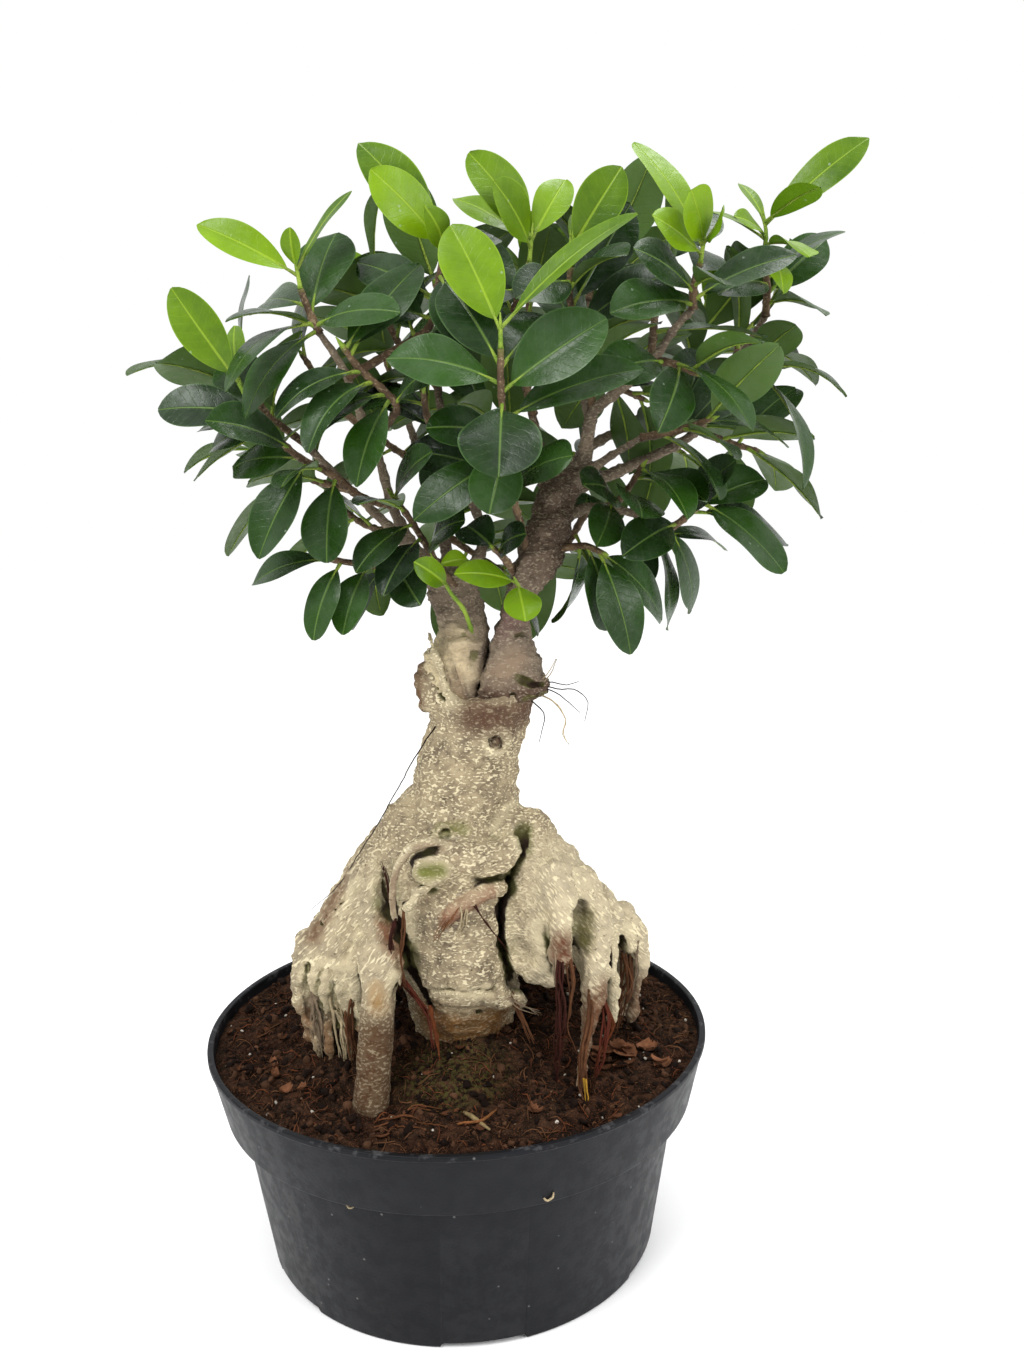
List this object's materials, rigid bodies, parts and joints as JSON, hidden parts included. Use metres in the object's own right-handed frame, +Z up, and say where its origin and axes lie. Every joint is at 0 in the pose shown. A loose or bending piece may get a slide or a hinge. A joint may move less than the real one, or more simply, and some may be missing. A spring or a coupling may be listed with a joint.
{
  "type": "ficus ginseng bonsai in a nursery pot",
  "caption": "Grafted ficus bonsai with a swollen pale rootstock on claw-like roots, a crown of glossy dark leaves with lime young tips, and a round black nursery pot of peat.",
  "frame": {"origin": "Centre of the pot's underside, on the surface the pot stands on.", "axes": "+Z up. -Y is the front, the side the picture shows, and +X is to its right."},
  "size_m": [0.3146, 0.23, 0.4868],
  "materials": {
    "pot_plastic": "satin, dusty",
    "peat_soil": "loose and fibrous",
    "rootstock_bark": "thin smooth bark with raised pores",
    "scion_bark": "rough bark",
    "dark_leaf": "leathery, waxy and slightly dusty",
    "young_leaf": "soft and thin"
  },
  "bodies": {
    "root": {"pot": "pot_plastic", "soil": "peat_soil", "rootstock": "rootstock_bark", "graft_left": "scion_bark", "graft_right": "scion_bark", "shoot_front": "dark_leaf", "shoot_left_low": "dark_leaf", "shoot_left_top": "dark_leaf", "shoot_dark_twig": "dark_leaf", "shoot_top_left": "dark_leaf", "shoot_top_mid": "dark_leaf", "shoot_mid_right": "dark_leaf", "shoot_right_top": "dark_leaf", "shoot_right_mid": "dark_leaf", "shoot_far_right": "dark_leaf", "shoot_far_side": "dark_leaf", "shoot_low_right": "dark_leaf", "shoot_low_mid": "dark_leaf", "shoot_hang_right": "dark_leaf", "shoot_back_hang": "dark_leaf", "shoot_left_twig": "dark_leaf", "shoot_thin_twig": "dark_leaf", "shoot_grey_pair": "dark_leaf", "young_front": "young_leaf", "young_left_tip": "young_leaf", "young_left_top": "young_leaf", "young_top_left": "young_leaf", "young_top_mid": "young_leaf", "young_mid_right": "young_leaf", "young_right_top": "young_leaf", "young_far_top": "young_leaf", "young_sprout": "young_leaf", "young_lime_front": "young_leaf", "young_back_left": "young_leaf", "young_back_top": "young_leaf", "young_back_right": "young_leaf", "shoot_spiral_01": "dark_leaf", "shoot_spiral_02": "dark_leaf", "shoot_spiral_03": "dark_leaf", "shoot_spiral_04": "dark_leaf", "shoot_spiral_05": "dark_leaf", "shoot_spiral_06": "dark_leaf", "shoot_spiral_07": "dark_leaf", "shoot_spiral_08": "dark_leaf", "shoot_spiral_09": "dark_leaf", "shoot_spiral_10": "dark_leaf", "shoot_spiral_11": "dark_leaf", "shoot_spiral_12": "dark_leaf", "shoot_spiral_13": "dark_leaf", "shoot_spiral_14": "dark_leaf", "shoot_spiral_15": "dark_leaf", "shoot_spiral_16": "dark_leaf", "shoot_spiral_17": "dark_leaf", "shoot_spiral_18": "dark_leaf", "shoot_spiral_19": "dark_leaf", "shoot_spiral_20": "dark_leaf", "shoot_spiral_21": "dark_leaf", "shoot_spiral_22": "dark_leaf", "shoot_spiral_23": "dark_leaf", "shoot_spiral_24": "dark_leaf"}
  },
  "joints": []
}
